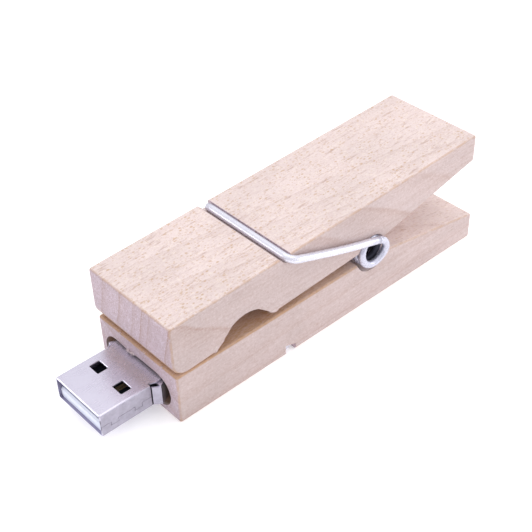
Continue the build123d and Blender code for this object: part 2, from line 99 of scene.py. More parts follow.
class Graph:
    """A material's node tree, built by small calls that return output sockets.

    place is where the point is in its own part, in millimetres, and direction is the surface's
    direction in the part's own axes.
    """

    def __init__(self, name):
        self.material = bpy.data.materials.new(name)
        self.material.use_nodes = True
        self.tree = self.material.node_tree
        self.shader = self.tree.nodes["Principled BSDF"]
        coordinates = self.node("ShaderNodeTexCoord")
        self.direction = coordinates.outputs["Normal"]
        self.place = self.vector("MULTIPLY", coordinates.outputs["Object"], (1 / MM,) * 3)

    def link(self, value, socket):
        """Links a socket to the socket, or sets it to a plain value."""
        if isinstance(value, bpy.types.NodeSocket):
            self.tree.links.new(value, socket)
        else:
            socket.default_value = value

    def node(self, kind, **props):
        made = self.tree.nodes.new(kind)
        for key, value in props.items():
            setattr(made, key, value)
        return made

    # numbers and vectors

    def math(self, operation, a, b=0.0, c=0.0):
        made = self.node("ShaderNodeMath", operation=operation)
        for value, socket in zip((a, b, c), made.inputs):
            self.link(value, socket)
        return made.outputs[0]

    def times(self, first, *others):
        for other in others:
            first = self.math("MULTIPLY", first, other)
        return first

    def vector(self, operation, a, b=(0, 0, 0)):
        made = self.node("ShaderNodeVectorMath", operation=operation)
        self.link(a, made.inputs[0])
        self.link(b, made.inputs[1])
        return made.outputs["Value" if operation in ("DOT_PRODUCT", "LENGTH") else "Vector"]

    def axis(self, vector, i):
        split = self.node("ShaderNodeSeparateXYZ")
        self.link(vector, split.inputs[0])
        return split.outputs[i]

    def smooth(self, value, low, high, to_low=0.0, to_high=1.0):
        """A smooth step from to_low at low to to_high at high."""
        made = self.node("ShaderNodeMapRange", interpolation_type="SMOOTHSTEP")
        for v, socket in zip((value, low, high, to_low, to_high), made.inputs):
            self.link(v, socket)
        return made.outputs[0]

    def band(self, value, rise, fall):
        """1 between two edges: it rises over the first pair of values and falls over the second."""
        return self.times(self.smooth(value, *rise), self.smooth(value, fall[1], fall[0]))

    # where the point is and where it faces

    def aside(self):
        """How far the point is from the middle of the part, to either side."""
        return self.math("ABSOLUTE", self.axis(self.place, 0))

    def along(self):
        """How far the point is behind the front end of the wood."""
        return self.math("SUBTRACT", self.axis(self.place, 1), WOOD_FRONT)

    def height(self):
        """How high the point is."""
        return self.axis(self.place, 2)

    def facing(self, i):
        """How squarely the surface faces along an axis, either way, 0 to 1."""
        return self.math("ABSOLUTE", self.axis(self.direction, i))

    # patterns: per_mm counts features per millimetre, with one number or one for each axis

    def scaled(self, per_mm, shift):
        if isinstance(per_mm, float):
            per_mm = (per_mm,) * 3
        return self.vector("ADD", self.vector("MULTIPLY", self.place, per_mm), shift)

    def noise(self, per_mm, detail, rough=0.5, shift=(0, 0, 0)):
        made = self.node("ShaderNodeTexNoise")
        self.link(self.scaled(per_mm, shift), made.inputs["Vector"])
        made.inputs["Scale"].default_value = 1.0
        made.inputs["Detail"].default_value = detail
        made.inputs["Roughness"].default_value = rough
        return made.outputs["Fac"]

    def cells(self, per_mm, shift=(0, 0, 0), feature="F1", randomness=1.0):
        """Voronoi cells, as a node: its Distance and Color outputs are used."""
        made = self.node("ShaderNodeTexVoronoi", feature=feature)
        self.link(self.scaled(per_mm, shift), made.inputs["Vector"])
        made.inputs["Scale"].default_value = 1.0
        made.inputs["Randomness"].default_value = randomness
        return made

    # colours and relief

    def ramp(self, value, stops):
        made = self.node("ShaderNodeValToRGB")
        self.link(value, made.inputs[0])
        set_stops(made, stops)
        return made.outputs[0]

    def mix(self, share, a, b, blend="MIX"):
        """Colour a with the share of colour b. The node's sockets 6, 7 and 2 are the colours."""
        made = self.node("ShaderNodeMix", data_type="RGBA", blend_type=blend)
        self.link(share, made.inputs[0])
        self.link(a, made.inputs[6])
        self.link(b, made.inputs[7])
        return made.outputs[2]

    def mottled(self, pattern, a, b):
        """Two colours mixed by a noise."""
        return self.mix(self.smooth(pattern, 0.3, 0.7), a, b)

    def coated(self, colour, *coats):
        """The colour with coats over it in turn, each a share and a colour."""
        for share, coat in coats:
            colour = self.mix(share, colour, coat)
        return colour

    def bump(self, height, depth_mm, strength, under=None):
        """A surface direction with relief, over the relief under it if there is one."""
        made = self.node("ShaderNodeBump")
        self.link(height, made.inputs["Height"])
        made.inputs["Distance"].default_value = depth_mm * MM
        made.inputs["Strength"].default_value = strength
        if under is not None:
            self.link(under, made.inputs["Normal"])
        return made.outputs[0]

    def finish(self, colour, rough, normal=None, **fixed):
        """Feeds the shader and returns the material. fixed are sockets that are the same all over."""
        for value, name in ((colour, "Base Color"), (rough, "Roughness"), (normal, "Normal")):
            if value is not None:
                self.link(value, self.shader.inputs[name])
        for name, value in fixed.items():
            self.shader.inputs[name.replace("_", " ")].default_value = value
        return self.material


# ---------------------------------------------------------------- wood

TOP_WOOD = srgb(229, 212, 209)
TOP_BAND = srgb(217, 196, 190)
TOP_CREAM = srgb(236, 221, 213)
# the side and end colours are the wood's own, made darker than the top by painted shade for how the
# lamps fall; end grain is also greyer
SIDE_WOOD = srgb(205, 188, 186)
SIDE_BAND = srgb(188, 168, 163)
SIDE_PALE = srgb(221, 206, 204)
END_WOOD = srgb(210, 191, 200)
END_BAND = srgb(186, 164, 172)
END_PALE = srgb(228, 214, 226)
RING_BROWN = srgb(172, 138, 124)
FLECK_BROWN = srgb(196, 156, 120)
FLECK_OLIVE = srgb(196, 166, 128)
PORE_BROWN = srgb(166, 128, 110)
# tan painted shade along the rounded edges
EDGE_SHADE_TAN = srgb(196, 158, 126)
# warm brown painted shade inside the peg: between the legs, in the arch and in the board's pocket
GAP_SHADE_BROWN = srgb(182, 141, 105)

RING_REACH = 18.0        # rings are drawn this far either side of the middle
RING_SWAY = 1.1          # and sway by up to half of this
RING_FADE = ((-0.10, 0.0), (0.0, 1.0), (0.22, 0.42), (1.3, 0.12))      # (place, darkness)
UPPER_RINGS = ((-6.95, 0.9), (-2.55, 0.9), (1.05, 0.7), (3.25, 1.0), (5.05, 0.7), (9.7, 1.0),
               (13.85, 0.8))
LOWER_RINGS = ((-9.0, 0.7), (-5.2, 0.8), (-1.6, 0.8), (1.9, 0.7), (5.6, 0.8), (9.2, 0.8))

# where brown shade is painted inside the peg, warm as with light bouncing between the wood's faces
ARCH_BACK = (26.0, 18.0)         # along the upper leg
JAW_BACK = (43.5, 36.0)          # along the lower leg
JAW_PALE = (36.0, 20.0)          # its back part is a little paler
JAW_HEIGHT = (9.2, 9.5)
RIM_ASIDE = (4.5, 8.5)           # painted shade gathers towards the sides of the jaw face
RIM_FRONT = (3.2, 1.6)           # and towards its front edge
POCKET_ASIDE = (9.3, 9.0)
POCKET_ALONG = ((0.15, 0.8), (38.5, 40.0))       # front and back of the pocket
POCKET_HEIGHT = ((0.7, 0.95), (7.8, 8.0))        # floor and roof


def ring_stops(rings):
    """Ramp stops over the ring coordinate: dark at each growth line, fading on one side only."""
    stops = [(0.0, RING_FADE[-1][1])]
    for ring, strength in rings:
        for step, level in RING_FADE:
            stops.append(((ring + step + RING_REACH) / (2 * RING_REACH), level * strength))
    return [(at, (level, level, level, 1)) for at, level in stops]


class Beech(Graph):
    """Pale beech. Its patterns are made once, and its faces' colours and its relief share them."""

    def __init__(self, name, seed, across, rings, flecked):
        """across is the direction that counts growth rings, rings are where they fall.

        flecked is how strongly the flecks show.
        """
        super().__init__(name)
        self.shift = (seed * 7.3, seed * 3.1, seed * 5.7)
        self.rings = self.growth_rings(across, rings)
        self.streak = self.pattern((1.5, 0.045, 1.7), 4, 0.62)
        self.fibre = self.pattern((7.5, 0.32, 7.5), 3, 0.6)
        self.grain = self.pattern((5.0, 1.1, 5.0), 3, 0.7)
        self.speck = self.pattern((3.1, 2.3, 3.1), 3, 0.75)
        self.mottle = self.pattern((2.4, 1.3, 1.6), 4, 0.7)
        self.patch = self.pattern((0.9, 0.9, 0.7), 4, 0.65)
        self.fleck = self.flecks(flecked)

    def pattern(self, per_mm, detail, rough=0.5):
        return self.noise(per_mm, detail, rough, self.shift)

    def growth_rings(self, across, rings):
        sway = self.math("SUBTRACT", self.pattern((0.09, 0.035, 0.11), 2), 0.5)
        count = self.vector("DOT_PRODUCT", self.place, across)
        count = self.math("ADD", count, self.times(sway, RING_SWAY))
        return self.ramp(self.math("MULTIPLY_ADD", count, 0.5 / RING_REACH, 0.5),
                         ring_stops(rings))

    def fleck_layer(self, per_mm, largest, fewest, channel):
        """Oval flecks of many sizes, one at most in each cell; some cells have none."""
        cell = self.cells(per_mm, self.shift)
        pick = self.axis(cell.outputs["Color"], channel)
        radius = self.times(self.smooth(pick, fewest, 1.0), largest)
        return self.smooth(self.math("SUBTRACT", cell.outputs["Distance"], radius), 0.0, -0.16)

    def flecks(self, strength):
        """Two sizes of fleck, short along the grain and denser in patches."""
        large = self.fleck_layer((1.9, 1.25, 0.6), 0.44, 0.05, 0)
        small = self.fleck_layer((3.3, 2.2, 1.1), 0.44, 0.0, 1)
        patchy = self.smooth(self.pattern((0.55, 0.3, 0.4), 2), 0.3, 0.65, 0.55, 1.0)
        return self.times(self.math("MAXIMUM", large, self.times(small, 0.75)), patchy, strength)

    def top_colour(self):
        """Faces that look up or down: cream and pink patches, short dark dashes, and flecks."""
        dash = self.smooth(self.pattern((2.4, 0.3, 2.0), 4, 0.68), 0.54, 0.72)
        fleck_colour = self.mix(self.smooth(self.speck, 0.4, 0.6), FLECK_BROWN, FLECK_OLIVE)
        return self.coated(
            TOP_WOOD,
            (self.smooth(self.streak, 0.34, 0.8, 0.0, 0.55), TOP_BAND),
            (self.smooth(self.mottle, 0.48, 0.7), TOP_CREAM),
            (self.smooth(self.mottle, 0.46, 0.3, 0.0, 0.5), TOP_BAND),
            (self.times(self.rings, 0.28), RING_BROWN),
            (self.times(dash, 0.52), PORE_BROWN),
            (self.smooth(self.speck, 0.52, 0.72, 0.0, 0.3), PORE_BROWN),
            (self.times(self.fleck, 0.7), fleck_colour))

    def side_colour(self):
        """Faces along the grain that look sideways: streaks, fine pores and growth lines, over a base
        darkened by painted shade.
        """
        return self.coated(
            SIDE_WOOD,
            (self.smooth(self.streak, 0.3, 0.8, 0.0, 0.55), SIDE_BAND),
            (self.smooth(self.mottle, 0.50, 0.72, 0.0, 0.55), SIDE_BAND),
            (self.times(self.rings, 0.5), RING_BROWN),
            (self.times(self.smooth(self.fibre, 0.5, 0.72), 0.3), PORE_BROWN),
            (self.smooth(self.speck, 0.5, 0.7, 0.0, 0.3), PORE_BROWN),
            (self.smooth(self.speck, 0.48, 0.3, 0.0, 0.5), SIDE_PALE))

    def end_colour(self):
        """End grain: strong growth lines with open pores between them, over a base that is greyer in
        itself and darker by painted shade.
        """
        ring_share = self.times(self.rings, self.smooth(self.patch, 0.3, 0.65, 0.5, 0.95))
        pore = self.smooth(self.cells(4.2, self.shift).outputs["Distance"], 0.3, 0.12)
        return self.coated(
            END_WOOD,
            (self.smooth(self.grain, 0.35, 0.7), END_BAND),
            (self.smooth(self.patch, 0.45, 0.75, 0.0, 0.6), END_PALE),
            (ring_share, RING_BROWN),
            (self.times(pore, 0.38), PORE_BROWN),
            (self.smooth(self.speck, 0.5, 0.7, 0.0, 0.42), PORE_BROWN),
            (self.smooth(self.speck, 0.48, 0.3, 0.0, 0.85), END_PALE))

    def shaded_edges(self):
        """Painted shade, tan, on the rounded long edges and the edges of the front end."""
        flattest = self.math("MAXIMUM", self.facing(1), self.facing(2))
        flattest = self.math("MAXIMUM", self.facing(0), flattest)
        front = self.times(self.smooth(self.along(), 0.9, 0.5), self.smooth(flattest, 0.99, 0.9))
        edge = self.math("MAXIMUM", self.band(self.facing(0), (0.2, 0.45), (0.85, 0.98)), front)
        return self.times(edge, self.smooth(self.patch, 0.3, 0.6), 0.5)

    def shade(self, top):
        """Broad clouds of light and dark in the wood's tone, and off the top faces a painted shade,
        darker towards the front and lighter at the tail.
        """
        clouds = self.smooth(self.pattern((0.12, 0.07, 0.12), 2), 0.3, 0.7, 0.95, 1.03)
        # painted shade off the top faces: darker at the front, lighter at the tail
        painted_front_shade = self.smooth(self.along(), 4.0, 60.0, -0.075, 0.02)
        off_top = self.math("SUBTRACT", 1.0, top)
        return self.math("ADD", clouds, self.times(off_top, painted_front_shade))


def beech(name, seed, across, rings, flecked, inner):
    """Beech for one leg. inner builds the share of painted shade inside the peg, warm brown as with
    light bouncing between the wood's faces.
    """
    g = Beech(name, seed, across, rings, flecked)
    top = g.smooth(g.facing(2), 0.55, 0.9)
    end = g.smooth(g.facing(1), 0.6, 0.9)
    colour = g.coated(
        g.side_colour(),
        (top, g.top_colour()),
        (end, g.end_colour()),
        # painted shade inside the peg, warm brown as with bounced light
        (g.times(inner(g), g.smooth(g.grain, 0.3, 0.7, 0.55, 0.95)), GAP_SHADE_BROWN),
        (g.shaded_edges(), EDGE_SHADE_TAN))
    colour = g.mix(1.0, colour, g.shade(top), blend="MULTIPLY")
    rough = g.math("ADD", g.smooth(g.fibre, 0.3, 0.7, 0.52, 0.66), g.times(g.fleck, 0.08))
    relief = g.bump(g.fibre, 0.035, 0.55)
    relief = g.bump(g.grain, 0.03, 0.4, relief)
    return g.finish(colour, rough, relief, Specular_IOR_Level=0.32)


def upper_gap_shade(g):
    """Painted shade on the arch and the jaw face of the upper leg, where they face down."""
    down = g.smooth(g.axis(g.direction, 2), -0.12, -0.4)
    return g.times(down, g.smooth(g.along(), *ARCH_BACK, 0.0, 0.8))


def lower_gap_shade(g):
    """Painted shade on the jaw face of the lower leg, and on the walls of the pocket for the board.
    """
    along = g.along()
    aside = g.aside()
    height = g.height()
    rim = g.math("MAXIMUM", g.smooth(aside, *RIM_ASIDE), g.smooth(along, *RIM_FRONT))
    jaw = g.times(g.smooth(g.axis(g.direction, 2), 0.1, 0.6),
                  g.smooth(along, *JAW_BACK),
                  g.smooth(along, *JAW_PALE, 0.75, 1.0),
                  g.smooth(height, *JAW_HEIGHT),
                  g.math("MULTIPLY_ADD", rim, 0.5, 0.5))
    pocket = g.times(g.band(along, *POCKET_ALONG),
                     g.smooth(aside, *POCKET_ASIDE),
                     g.band(height, *POCKET_HEIGHT))
    return g.math("MAXIMUM", jaw, pocket)


# ---------------------------------------------------------------- metal

COIL_MIDDLE = (13.5, 11.3)       # y, z of the coil's axis
COIL_RADIUS = 2.42       # to the middle of the wire
WIND_END = (10.5, 10.2)  # to the side, where the hole through the coil is painted dark as shade
PLUG_MIDDLE = 4.49       # height of the middle of the plug
SEAM_ASIDE = ((5.8, 5.85), (5.965, 5.985))       # the depth of the seam in the plug's side walls
SEAM_REACH = (1.4, 1.3)  # above and below the middle of the plug
SLIT_ALONG = ((-2.15, -2.10), (-1.90, -1.85))    # the slits in front of the plug's wings
SLIT_ASIDE = (5.3, 5.5)
TUBE_ASIDE = (5.8, 5.74)         # the inside of the plug's side walls
TUBE_REACH = (2.05, 1.99)        # and of its top and bottom, from the middle


def wire_chrome():
    """Bright plated spring wire with faint drawing marks and a few less shiny spots; the hole through
    the coil is painted dark as shade.
    """
    g = Graph("wire_chrome")
    haze = g.noise(0.9, 3, 0.6)
    marks = g.noise(5.0, 3, 0.6)
    offset = g.vector("SUBTRACT", g.place, (0, *COIL_MIDDLE))
    radius = g.vector("LENGTH", g.vector("MULTIPLY", offset, (0, 1, 1)))
    wound = g.smooth(radius, COIL_RADIUS + 1.6, COIL_RADIUS + 0.6)
    # the inside of the winding is painted dark and made rough, as the shade in the hole through the
    # coil
    hole_shade = g.times(g.smooth(radius, COIL_RADIUS + 0.2, COIL_RADIUS - 0.2),
                   g.smooth(g.aside(), *WIND_END))
    colour = g.coated(
        srgb(228, 227, 237),
        (g.smooth(haze, 0.35, 0.7), srgb(218, 217, 230)),
        (g.times(wound, 0.8), srgb(200, 200, 218)),
        (g.times(hole_shade, 0.93), srgb(24, 26, 50)))
    rough = g.math("ADD", g.smooth(haze, 0.3, 0.75, 0.24, 0.32), g.times(hole_shade, 0.4))
    return g.finish(colour, rough, g.bump(marks, 0.0005, 0.05), Metallic=0.5,
                    Specular_IOR_Level=0.8)


def plug_nickel():
    """Satin nickel on pressed sheet: a fine rolled grain, a little handling wear, and painted shade
    on the upright walls, inside the tube and where it goes into the pocket.
    """
    g = Graph("plug_nickel")
    aside = g.aside()
    along = g.along()
    off_middle = g.math("ABSOLUTE", g.math("SUBTRACT", g.height(), PLUG_MIDDLE))
    rolled = g.noise((9.0, 0.8, 9.0), 3, 0.6)
    cloud = g.noise((0.5, 0.35, 0.5), 3, 0.55)
    scuff = g.smooth(g.noise((1.1, 9.0, 2.0), 4, 0.7, (4, 0, 0)), 0.66, 0.76)
    pits = g.noise(1.1, 4, 0.66, (2, 5, 1))

    # the upright walls are painted a little darker as shade and have pitted relief, and the seam is
    # darker with dirt
    upright = g.smooth(g.facing(0), 0.6, 0.9)
    side_shade = g.times(upright, g.smooth(pits, 0.3, 0.7, 0.68, 1.0))
    seam = g.times(g.band(aside, *SEAM_ASIDE), g.smooth(off_middle, *SEAM_REACH),
                   g.smooth(pits, 0.36, 0.6, 0.3, 1.0))
    # the slits in front of the wings are painted near black
    slit = g.times(g.band(along, *SLIT_ALONG), g.smooth(aside, *SLIT_ASIDE),
                   g.smooth(pits, 0.3, 0.5, 0.5, 1.0))
    # painted shade darkens the sheet to a brownish grey where it goes into the pocket
    pocket_shade = g.smooth(along, -0.15, 0.7)
    # inside the tube the sheet is painted darker as shade, and made rougher
    inner = g.times(g.smooth(aside, *TUBE_ASIDE), g.smooth(off_middle, *TUBE_REACH))

    colour = g.coated(
        g.mottled(cloud, srgb(214, 210, 226), srgb(208, 204, 220)),
        (g.times(scuff, 0.06), srgb(236, 234, 240)),
        (side_shade, srgb(162, 157, 171)),
        (seam, srgb(104, 98, 112)),
        (slit, srgb(44, 38, 46)),
        (g.times(pocket_shade, 0.7), srgb(104, 88, 88)),
        (g.times(inner, 0.9), srgb(150, 145, 172)))
    rough = g.math("ADD", g.smooth(cloud, 0.3, 0.7, 0.25, 0.28),
                   g.smooth(rolled, 0.3, 0.7, -0.01, 0.015))
    for share, more in ((upright, 0.1), (pocket_shade, 0.2), (inner, 0.15)):
        rough = g.math("ADD", rough, g.times(share, more))
    relief = g.bump(rolled, 0.0005, 0.05)
    relief = g.bump(scuff, 0.001, 0.1, relief)
    relief = g.bump(g.times(upright, pits), 0.012, 0.3, relief)
    return g.finish(colour, rough, relief, Metallic=0.74, Specular_IOR_Level=0.7)


def gold():
    """Gold flash over copper strip, wiped along its length."""
    g = Graph("gold")
    wipe = g.noise((9.0, 0.5, 9.0), 3, 0.65)
    spot = g.noise(1.4, 3)
    colour = g.mix(g.smooth(spot, 0.3, 0.75), srgb(208, 184, 148), srgb(180, 154, 118))
    rough = g.smooth(wipe, 0.3, 0.7, 0.2, 0.38)
    return g.finish(colour, rough, g.bump(wipe, 0.004, 0.4), Metallic=0.6)


def tin(name, light, dark, low, high):
    """Tinned or soldered metal with a crystalline dullness. low and high are its roughness."""
    g = Graph(name)
    pick = g.axis(g.cells(7.0).outputs["Color"], 0)
    haze = g.noise(2.5, 3)
    colour = g.coated(g.mottled(haze, light, dark), (g.times(pick, 0.15), dark))
    rough = g.smooth(pick, 0.0, 1.0, low, high)
    return g.finish(colour, rough, g.bump(haze, 0.01, 0.4), Metallic=1.0)


# ---------------------------------------------------------------- plastics and the board

TONGUE_SHADE = (-10.0, -9.90)     # along the plug, where the white tongue is painted near black as the shade inside the shell
WEAVE = (0.55, 0.6)      # the laminate's thread spacing, across and along


def insulator_plastic():
    """Moulded insulator: bluish white, painted near black behind its front edge under the contacts,
    as the shade inside the shell.
    """
    g = Graph("insulator_plastic")
    mottle = g.noise(1.2, 3)
    fine = g.noise(14.0, 2)
    behind = g.smooth(g.along(), *TONGUE_SHADE)
    white = g.mottled(mottle, srgb(238, 242, 255), srgb(230, 235, 252))
    # painted shade inside the shell, in place of the white tongue
    shade_black = g.mottled(mottle, srgb(26, 32, 40), srgb(36, 42, 50))
    rough = g.smooth(fine, 0.3, 0.7, 0.34, 0.46)
    return g.finish(g.mix(behind, white, shade_black), rough, g.bump(fine, 0.006, 0.4),
                    Specular_IOR_Level=0.45)


def board_laminate():
    """Glass-cloth laminate under green mask, with a hint of the weave and of copper runs."""
    g = Graph("board_laminate")
    waves = [g.math("SINE", g.times(g.axis(g.place, i), 2 * math.pi / WEAVE[i])) for i in (0, 1)]
    weave = g.math("MULTIPLY_ADD", g.times(*waves), 0.5, 0.5)
    tracks = g.cells((0.55, 0.3, 0.1), feature="DISTANCE_TO_EDGE", randomness=0.7)
    run = g.smooth(tracks.outputs["Distance"], 0.10, 0.06)
    mottle = g.noise(0.5, 3)
    mask = g.coated(g.mottled(mottle, srgb(20, 92, 52), srgb(28, 106, 62)),
                    (g.times(run, 0.55), srgb(56, 138, 84)))
    edge = g.mix(weave, srgb(176, 164, 120), srgb(150, 138, 98))
    colour = g.mix(g.smooth(g.facing(2), 0.4, 0.8), edge, mask)
    rough = g.smooth(mottle, 0.3, 0.7, 0.26, 0.36)
    relief = g.bump(run, 0.03, 0.6)
    relief = g.bump(weave, 0.008, 0.3, relief)
    return g.finish(colour, rough, relief, Specular_IOR_Level=0.5)


def moulded(name, light, dark, low, high, grain=12.0, depth=0.012, level=0.45):
    """Moulded, fired or torn matt surface: two close colours, speckle in the colour and relief.

    low and high are its roughness, grain counts speckles per millimetre, depth is their relief
    and level is the specular level.
    """
    g = Graph(name)
    fine = g.noise(grain, 3, 0.65)
    broad = g.noise(0.6, 3)
    colour = g.coated(g.mottled(broad, light, dark),
                      (g.times(g.smooth(fine, 0.55, 0.8), 0.25), dark))
    rough = g.smooth(fine, 0.25, 0.75, low, high)
    return g.finish(colour, rough, g.bump(fine, depth, 0.5), Specular_IOR_Level=level)


def clear_bead(name, colour, rough, weight):
    """Resin or hot glue: cloudy and partly clear, with small bubbles in the relief.

    weight is how much light goes into it. The distances that it goes are in metres.
    """
    g = Graph(name)
    bubble = g.smooth(g.cells(2.6).outputs["Distance"], 0.28, 0.1)
    cloud = g.noise(0.9, 3)
    tone = g.mottled(cloud, colour, tuple(c * 0.86 for c in colour[:3]) + (1,))
    return g.finish(tone, g.smooth(cloud, 0.3, 0.7, rough, rough + 0.12),
                    g.bump(bubble, 0.02, 0.3), IOR=1.48, Subsurface_Weight=weight,
                    Subsurface_Radius=(0.0012, 0.001, 0.0008), Subsurface_Scale=1.0)


def dress_nodes(upper_wood):
    """Gives every carried-over node its material. The upper leg's is shared with its torn parts."""
    dark_case = moulded("chip_moulding", srgb(34, 34, 37), srgb(24, 24, 27), 0.5, 0.68)
    leads = tin("tinned_leads", srgb(206, 206, 212), srgb(172, 173, 180), 0.25, 0.42)
    gilt = gold()
    by_node = {
        "upper_leg": upper_wood,
        "lower_leg": beech("beech_lower", 2, (0.42, -0.03, 0.9), LOWER_RINGS, 0.5, lower_gap_shade),
        "usb_shell": plug_nickel(),
        "usb_insulator": insulator_plastic(),
        "contact_power": gilt,
        "contact_data_minus": gilt,
        "contact_data_plus": gilt,
        "contact_ground": gilt,
        "circuit_board": board_laminate(),
        "flash_chip": dark_case,
        "controller_chip": dark_case,
        "flash_leads": leads,
        "controller_leads": leads,
        "crystal": tin("crystal_can", srgb(214, 214, 216), srgb(186, 187, 190), 0.2, 0.34),
        "ceramic_capacitors": moulded("capacitor_ceramic", srgb(176, 150, 118),
                                      srgb(158, 131, 100), 0.4, 0.55),
        "resistors": moulded("resistor_ceramic", srgb(40, 40, 44), srgb(28, 28, 32), 0.3, 0.45),
        "status_led": clear_bead("led_resin", srgb(226, 214, 150), 0.14, 0.4),
        "solder_joints": tin("solder", srgb(214, 214, 218), srgb(180, 181, 188), 0.2, 0.36),
        "glue_beads": clear_bead("glue", srgb(238, 230, 206), 0.22, 0.5),
    }
    for name, material in by_node.items():
        mesh = NODES[name].data
        mesh.materials.clear()
        mesh.materials.append(material)


# ---------------------------------------------------------------- the sprung wire

WIRE = 1.38              # wire diameter
CUT_CHAMFER = 0.14       # on the two cut ends
ARM_X = 11.085           # the arms run this far out to each side
COIL_TURNS = 15          # whole turns, besides the part turn between the two arms
UPPER_BAR = (-6.23, 20.5)        # y, z of the bar across each leg
LOWER_BAR = (-5.90, 0.78)
BAR_END = 9.5            # how far past the middle the bars are cut
BEND_RADIUS = 1.7
FLAT_TURN = 0.62         # share of the end turn that stays in one plane
CLOSE_STEPS = (1.42, 1.44)       # the first turns at each end lie close together
STEPPED_SHARE = (0.3, 0.2)       # and step over a little rather than wind evenly
SWELL_TURNS = 0.5        # the last half turn at each end
END_SWELL = 0.54         # reaches this much further back
SWELL_POWER = 1.6        # and gathers most of it near its outermost point
END_LIFT = 0.16          # its arm's end stands this much further out
LIFT_TURNS = 0.25        # over this part of the coil
LIFT_SHARE = 0.5         # and of the arm
ARM_SAG = 0.15           # while the arm's middle bows in
SIDES = 24
STEPS_PER_TURN = 44
EASE_STEPS = STEPS_PER_TURN // 10        # the winding is averaged over this many either side
ARM_STEPS = 24
BEND_STEPS = 16
BAR_STEPS = 14


def eased(share):
    """A smooth step from 0 to 1."""
    share = min(1.0, max(0.0, share))
    return share * share * (3 - 2 * share)


def touch_angle(bar, side):
    """Where round the coil an arm from the bar meets it, from +Y towards +Z."""
    dy = bar[0] - COIL_MIDDLE[0]
    dz = bar[1] - COIL_MIDDLE[1]
    return math.atan2(dz, dy) - side * math.acos(COIL_RADIUS / math.hypot(dy, dz))


def on_coil(angle, x):
    """A point in the middle of the coil's wire."""
    return Vector((x, COIL_MIDDLE[0] + COIL_RADIUS * math.cos(angle),
                   COIL_MIDDLE[1] + COIL_RADIUS * math.sin(angle)))


def advance(turn, half_turns):
    """How far along its axis the winding has gone: the end turn stays flat and then steps over."""
    whole = int(turn)
    close = len(CLOSE_STEPS)
    if whole >= close:
        even = (ARM_X - sum(CLOSE_STEPS)) / (half_turns - close)
        return sum(CLOSE_STEPS) + even * (turn - close)
    part = turn - whole
    stepped = eased((part - FLAT_TURN) / (1 - FLAT_TURN))
    part += STEPPED_SHARE[whole] * (stepped - part)
    return sum(CLOSE_STEPS[:whole]) + CLOSE_STEPS[whole] * part


def opened(turn, angle, end_angle, side):
    """How far the half turn at an end opens out towards the tail, and away from the other arm."""
    if turn > SWELL_TURNS:
        return Vector((0, 0, 0))
    share = (math.cos(angle) - math.cos(end_angle)) / (1 - math.cos(end_angle))
    back = END_SWELL * max(0.0, share) ** SWELL_POWER
    return Vector((0, back, side * END_LIFT * (1 - eased(turn / LIFT_TURNS))))


def coil_line(start, end):
    """The middle of the wire through the coil, from the lower arm's side to the upper arm's."""
    turns = COIL_TURNS + (end - start) / (2 * math.pi)
    steps = int(turns * STEPS_PER_TURN)
    across = []
    for i in range(steps + 1):
        turn = turns * i / steps
        if turn < turns / 2:
            across.append(-ARM_X + advance(turn, turns / 2))
        else:
            across.append(ARM_X - advance(turns - turn, turns / 2))
    line = []
    for i in range(steps + 1):
        x = across[i]
        if EASE_STEPS <= i <= steps - EASE_STEPS:
            window = across[i - EASE_STEPS:i + EASE_STEPS + 1]
            x = sum(window) / len(window)
        turn = turns * i / steps
        angle = start + 2 * math.pi * turn
        line.append(on_coil(angle, x) + opened(turn, angle, start, -1)
                    + opened(turns - turn, angle, end, 1))
    return line


def arm_line(bar, angle, side):
    """Coil, arm, round bend, and the bar across the leg to its cut end."""
    touch = on_coil(angle, side * ARM_X)
    corner = Vector((side * ARM_X, bar[0], bar[1]))
    along = (corner - touch).normalized()
    across = Vector((-side, 0, 0))
    bend_from = corner - along * BEND_RADIUS
    bend_to = corner + across * BEND_RADIUS
    middle = bend_from + across * BEND_RADIUS
    cut = Vector((-side * BAR_END, bar[0], bar[1]))
    line = []
    for i in range(ARM_STEPS):
        share = i / ARM_STEPS
        bow = END_LIFT * (1 - eased(share / LIFT_SHARE)) - ARM_SAG * math.sin(math.pi * share)
        line.append(touch.lerp(bend_from, share) + Vector((0, 0, side * bow)))
    for i in range(BEND_STEPS + 1):
        a = math.pi / 2 * i / BEND_STEPS
        line.append(middle - across * BEND_RADIUS * math.cos(a) + along * BEND_RADIUS * math.sin(a))
    line += [bend_to.lerp(cut, i / BAR_STEPS) for i in range(1, BAR_STEPS + 1)]
    return line


def add_ring(bm, centre, tangent, normal, radius):
    """A ring of SIDES points round the centre, square to the tangent."""
    side = tangent.cross(normal)
    ring = []
    for k in range(SIDES):
        a = 2 * math.pi * k / SIDES
        spoke = normal * math.cos(a) + side * math.sin(a)
        ring.append(bm.verts.new((centre + spoke * radius) * MM))
    return ring


def wire_mesh(name, line, cut):
    """A round wire along the line. Where it is cut, its last end has a small chamfer."""
    bm = bmesh.new()
    radius = WIRE / 2
    last = len(line) - 1
    tangents = [(line[min(i + 1, last)] - line[max(i - 1, 0)]).normalized()
                for i in range(last + 1)]
    normal = tangents[0].orthogonal().normalized()
    rings = []
    for i, (point, tangent) in enumerate(zip(line, tangents)):
        normal = (normal - tangent * normal.dot(tangent)).normalized()
        if i == last and cut:
            rings.append(add_ring(bm, point - tangent * CUT_CHAMFER, tangent, normal, radius))
            rings.append(add_ring(bm, point, tangent, normal, radius - CUT_CHAMFER))
        else:
            rings.append(add_ring(bm, point, tangent, normal, radius))
    for a, b in zip(rings, rings[1:]):
        for k in range(SIDES):
            bm.faces.new((a[k], a[(k + 1) % SIDES], b[(k + 1) % SIDES], b[k]))
    bm.faces.new(list(reversed(rings[0])))
    bm.faces.new(rings[-1])
    for face in bm.faces:
        face.smooth = len(face.verts) == 4
    bm.normal_update()
    return add_mesh(name, bm)


